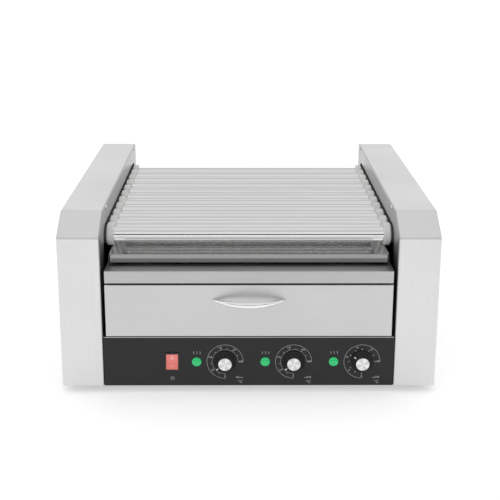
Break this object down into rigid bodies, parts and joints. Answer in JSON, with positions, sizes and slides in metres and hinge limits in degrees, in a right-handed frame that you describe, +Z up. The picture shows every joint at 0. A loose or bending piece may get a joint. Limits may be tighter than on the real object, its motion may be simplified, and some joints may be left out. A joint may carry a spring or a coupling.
{
  "type": "hot dog roller grill",
  "caption": "Countertop roller grill with driven heated rollers between two sheet-steel housings, a drip tray, a warming drawer and a front control panel.",
  "frame": {"origin": "on the table under the middle of the grill's box, handle and cord gland included", "axes": "+X to the right along the rollers, +Y from the control panel to the back, +Z up"},
  "size_m": [0.58, 0.562, 0.283],
  "materials": {
    "stainless_cover": "fine satin brushed stainless steel",
    "polished_roller": "ground and polished stainless tube",
    "sprocket_steel": "plain steel, lightly oiled",
    "chain_steel": "dark oiled roller chain",
    "zinc_sheet": "zinc plated sheet steel",
    "pan_steel": "thin bright stainless sheet",
    "tray_steel": "bright stainless tray",
    "white_bush": "white low-friction plastic",
    "black_panel": "satin black printed sheet",
    "heater_sheath": "heat-tinted metal sheath",
    "motor_paint": "dark grey painted metal",
    "brown_moulding": "dark brown moulded plastic",
    "switch_black": "black plastic",
    "rocker_red": "translucent red plastic",
    "lamp_green": "translucent green plastic",
    "foot_rubber": "black rubber",
    "screw_steel": "bright plated screws",
    "gland_black": "black plastic",
    "handle_chrome": "bright chrome",
    "knob_black": "satin black plastic",
    "cap_silver": "spun silver disc"
  },
  "bodies": {
    "case": {"base_pan": "zinc_sheet", "left_side_cover": "stainless_cover", "right_side_cover": "stainless_cover", "left_top_cover": "stainless_cover", "right_top_cover": "stainless_cover", "left_bearing_plate": "zinc_sheet", "right_bearing_plate": "zinc_sheet", "roller_bushes": "white_bush", "drawer_housing": "stainless_cover", "rear_panel": "stainless_cover", "control_panel": "black_panel", "heating_elements": "heater_sheath", "heater_brackets": "zinc_sheet", "drive_chain": "chain_steel", "gear_motor": "motor_paint", "thermostats": "brown_moulding", "switch_body": "switch_black", "indicator_lamps": "lamp_green", "drawer_outer_rails": "zinc_sheet", "tray_runners": "zinc_sheet", "warming_element": "heater_sheath", "feet": "foot_rubber", "foot_screws": "screw_steel", "cover_screws": "screw_steel", "cord_gland": "gland_black"},
    "roller_01_body": {"roller_01": "polished_roller", "roller_sprocket_01": "sprocket_steel"},
    "roller_02_body": {"roller_02": "polished_roller", "roller_sprocket_02": "sprocket_steel"},
    "roller_03_body": {"roller_03": "polished_roller", "roller_sprocket_03": "sprocket_steel"},
    "roller_04_body": {"roller_04": "polished_roller", "roller_sprocket_04": "sprocket_steel"},
    "roller_05_body": {"roller_05": "polished_roller", "roller_sprocket_05": "sprocket_steel"},
    "roller_06_body": {"roller_06": "polished_roller", "roller_sprocket_06": "sprocket_steel"},
    "roller_07_body": {"roller_07": "polished_roller", "roller_sprocket_07": "sprocket_steel"},
    "roller_08_body": {"roller_08": "polished_roller", "roller_sprocket_08": "sprocket_steel"},
    "roller_09_body": {"roller_09": "polished_roller", "roller_sprocket_09": "sprocket_steel"},
    "roller_10_body": {"roller_10": "polished_roller", "roller_sprocket_10": "sprocket_steel"},
    "roller_11_body": {"roller_11": "polished_roller", "roller_sprocket_11": "sprocket_steel"},
    "motor_shaft": {"drive_sprocket": "sprocket_steel"},
    "knob_1_body": {"knob_1": "knob_black", "knob_cap_1": "cap_silver"},
    "knob_2_body": {"knob_2": "knob_black", "knob_cap_2": "cap_silver"},
    "knob_3_body": {"knob_3": "knob_black", "knob_cap_3": "cap_silver"},
    "rocker_body": {"rocker": "rocker_red"},
    "drawer": {"drawer_front": "stainless_cover", "drawer_pan": "pan_steel", "drawer_handle": "handle_chrome", "drawer_inner_rails": "zinc_sheet"},
    "tray": {"drip_tray": "tray_steel"}
  },
  "joints": [
    {"name": "roller_01_turn", "type": "hinge", "parent": "case", "child": "roller_01_body", "pos_m": [0, -0.175, 0.235], "axis": [1, 0, 0], "continuous": true},
    {"name": "roller_02_turn", "type": "hinge", "parent": "case", "child": "roller_02_body", "pos_m": [0, -0.1369, 0.235], "axis": [1, 0, 0], "continuous": true},
    {"name": "roller_03_turn", "type": "hinge", "parent": "case", "child": "roller_03_body", "pos_m": [0, -0.0988, 0.235], "axis": [1, 0, 0], "continuous": true},
    {"name": "roller_04_turn", "type": "hinge", "parent": "case", "child": "roller_04_body", "pos_m": [0, -0.0607, 0.235], "axis": [1, 0, 0], "continuous": true},
    {"name": "roller_05_turn", "type": "hinge", "parent": "case", "child": "roller_05_body", "pos_m": [0, -0.0226, 0.235], "axis": [1, 0, 0], "continuous": true},
    {"name": "roller_06_turn", "type": "hinge", "parent": "case", "child": "roller_06_body", "pos_m": [0, 0.0155, 0.235], "axis": [1, 0, 0], "continuous": true},
    {"name": "roller_07_turn", "type": "hinge", "parent": "case", "child": "roller_07_body", "pos_m": [0, 0.0536, 0.235], "axis": [1, 0, 0], "continuous": true},
    {"name": "roller_08_turn", "type": "hinge", "parent": "case", "child": "roller_08_body", "pos_m": [0, 0.0917, 0.235], "axis": [1, 0, 0], "continuous": true},
    {"name": "roller_09_turn", "type": "hinge", "parent": "case", "child": "roller_09_body", "pos_m": [0, 0.1298, 0.235], "axis": [1, 0, 0], "continuous": true},
    {"name": "roller_10_turn", "type": "hinge", "parent": "case", "child": "roller_10_body", "pos_m": [0, 0.1679, 0.235], "axis": [1, 0, 0], "continuous": true},
    {"name": "roller_11_turn", "type": "hinge", "parent": "case", "child": "roller_11_body", "pos_m": [0, 0.206, 0.235], "axis": [1, 0, 0], "continuous": true},
    {"name": "motor_shaft_turn", "type": "hinge", "parent": "case", "child": "motor_shaft", "pos_m": [-0.25, 0.0155, 0.04835], "axis": [1, 0, 0], "continuous": true, "deforming": ["drive_chain"]},
    {"name": "knob_1_turn", "type": "hinge", "parent": "case", "child": "knob_1_body", "pos_m": [-0.037, -0.254, 0.0523], "axis": [0, 1, 0], "range_deg": [-52, 218]},
    {"name": "knob_2_turn", "type": "hinge", "parent": "case", "child": "knob_2_body", "pos_m": [0.0692, -0.254, 0.0523], "axis": [0, 1, 0], "range_deg": [-52, 218]},
    {"name": "knob_3_turn", "type": "hinge", "parent": "case", "child": "knob_3_body", "pos_m": [0.1754, -0.254, 0.0523], "axis": [0, 1, 0], "range_deg": [-130, 140]},
    {"name": "rocker_tip", "type": "hinge", "parent": "case", "child": "rocker_body", "pos_m": [-0.119, -0.2525, 0.0523], "axis": [1, 0, 0], "range_deg": [0, 16]},
    {"name": "drawer_slide", "type": "slide", "parent": "case", "child": "drawer", "axis": [0, -1, 0], "range_m": [0, 0.35]},
    {"name": "tray_slide", "type": "slide", "parent": "case", "child": "tray", "axis": [0, -1, 0], "range_m": [0, 0.38]}
  ],
  "couplings": [
    {"joint": "roller_01_turn", "follows": "motor_shaft_turn", "ratio": 1},
    {"joint": "roller_02_turn", "follows": "motor_shaft_turn", "ratio": 1},
    {"joint": "roller_03_turn", "follows": "motor_shaft_turn", "ratio": 1},
    {"joint": "roller_04_turn", "follows": "motor_shaft_turn", "ratio": 1},
    {"joint": "roller_05_turn", "follows": "motor_shaft_turn", "ratio": 1},
    {"joint": "roller_06_turn", "follows": "motor_shaft_turn", "ratio": 1},
    {"joint": "roller_07_turn", "follows": "motor_shaft_turn", "ratio": 1},
    {"joint": "roller_08_turn", "follows": "motor_shaft_turn", "ratio": 1},
    {"joint": "roller_09_turn", "follows": "motor_shaft_turn", "ratio": 1},
    {"joint": "roller_10_turn", "follows": "motor_shaft_turn", "ratio": 1},
    {"joint": "roller_11_turn", "follows": "motor_shaft_turn", "ratio": 1}
  ]
}
